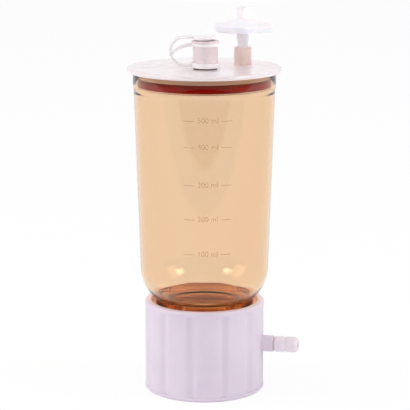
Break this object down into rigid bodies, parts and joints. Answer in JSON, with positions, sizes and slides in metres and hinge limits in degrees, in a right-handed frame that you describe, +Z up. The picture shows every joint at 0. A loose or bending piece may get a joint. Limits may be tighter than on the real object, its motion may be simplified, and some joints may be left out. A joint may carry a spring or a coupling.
{
  "type": "vacuum filtration unit",
  "caption": "Amber membrane filter funnel with a sealed lid, capped fill port and disc vent filter, on a white fluted bottle-top holder with a side hose barb.",
  "frame": {"origin": "on the holder's axis, in the plane of its foot, at the mouth of the bottle bore", "axes": "+Z up along the holder's and the funnel's axis; +X along the hose barb, away from the holder"},
  "size_m": [0.1082, 0.096, 0.2402],
  "materials": {
    "holder_plastic": "smooth white moulding, satin",
    "nozzle_plastic": "smooth white moulding",
    "lid_plastic": "polished white moulding",
    "vent_plastic": "smooth, slightly milky white moulding",
    "screen_plastic": "matt white",
    "amber_plastic": "clear amber, polished",
    "membrane_paper": "white, matt",
    "clear_silicone": "translucent soft rubber",
    "red_silicone": "smooth red soft rubber",
    "tan_silicone": "smooth tan soft rubber",
    "cap_silicone": "smooth off-white soft rubber"
  },
  "bodies": {
    "holder": {"holder": "holder_plastic", "hose_barb": "nozzle_plastic", "barb_seal": "clear_silicone", "bottle_gasket": "clear_silicone", "seat_gasket": "clear_silicone", "support_screen": "screen_plastic", "filter_membrane": "membrane_paper"},
    "neck_gasket": {"membrane_gasket": "clear_silicone"},
    "funnel": {"funnel": "amber_plastic"},
    "seal": {"lid_seal": "red_silicone"},
    "lid": {"lid": "lid_plastic", "fill_port": "lid_plastic", "port_washer": "clear_silicone", "port_nut": "lid_plastic", "cap_tether": "cap_silicone", "vent_sleeve": "tan_silicone"},
    "cap": {"port_cap": "cap_silicone"},
    "vent": {"vent_outlet_shell": "vent_plastic", "vent_membrane": "membrane_paper", "vent_inlet_shell": "vent_plastic"}
  },
  "joints": [
    {"name": "funnel_rise", "type": "slide", "parent": "holder", "child": "neck_gasket", "axis": [0, 0, 1], "range_m": [0, 0.012]},
    {"name": "funnel_turn", "type": "hinge", "parent": "neck_gasket", "child": "funnel", "pos_m": [0, 0, 0.05], "axis": [0, 0, 1], "range_deg": [0, 1080]},
    {"name": "lid_lift", "type": "slide", "parent": "funnel", "child": "seal", "axis": [0, 0, 1], "range_m": [0, 0.05]},
    {"name": "lid_turn", "type": "hinge", "parent": "seal", "child": "lid", "pos_m": [0, 0, 0.196], "axis": [0, 0, 1], "continuous": true},
    {"name": "cap_open", "type": "hinge", "parent": "lid", "child": "cap", "pos_m": [-0.01887, -0.01524, 0.2154], "axis": [0.2079, -0.9781, 0], "range_deg": [0, 135]},
    {"name": "vent_pull", "type": "slide", "parent": "lid", "child": "vent", "axis": [0, 0, 1], "range_m": [0, 0.03]}
  ],
  "couplings": [
    {"joint": "funnel_rise", "follows": "funnel_turn", "m_per_rad": 0.00063661}
  ]
}
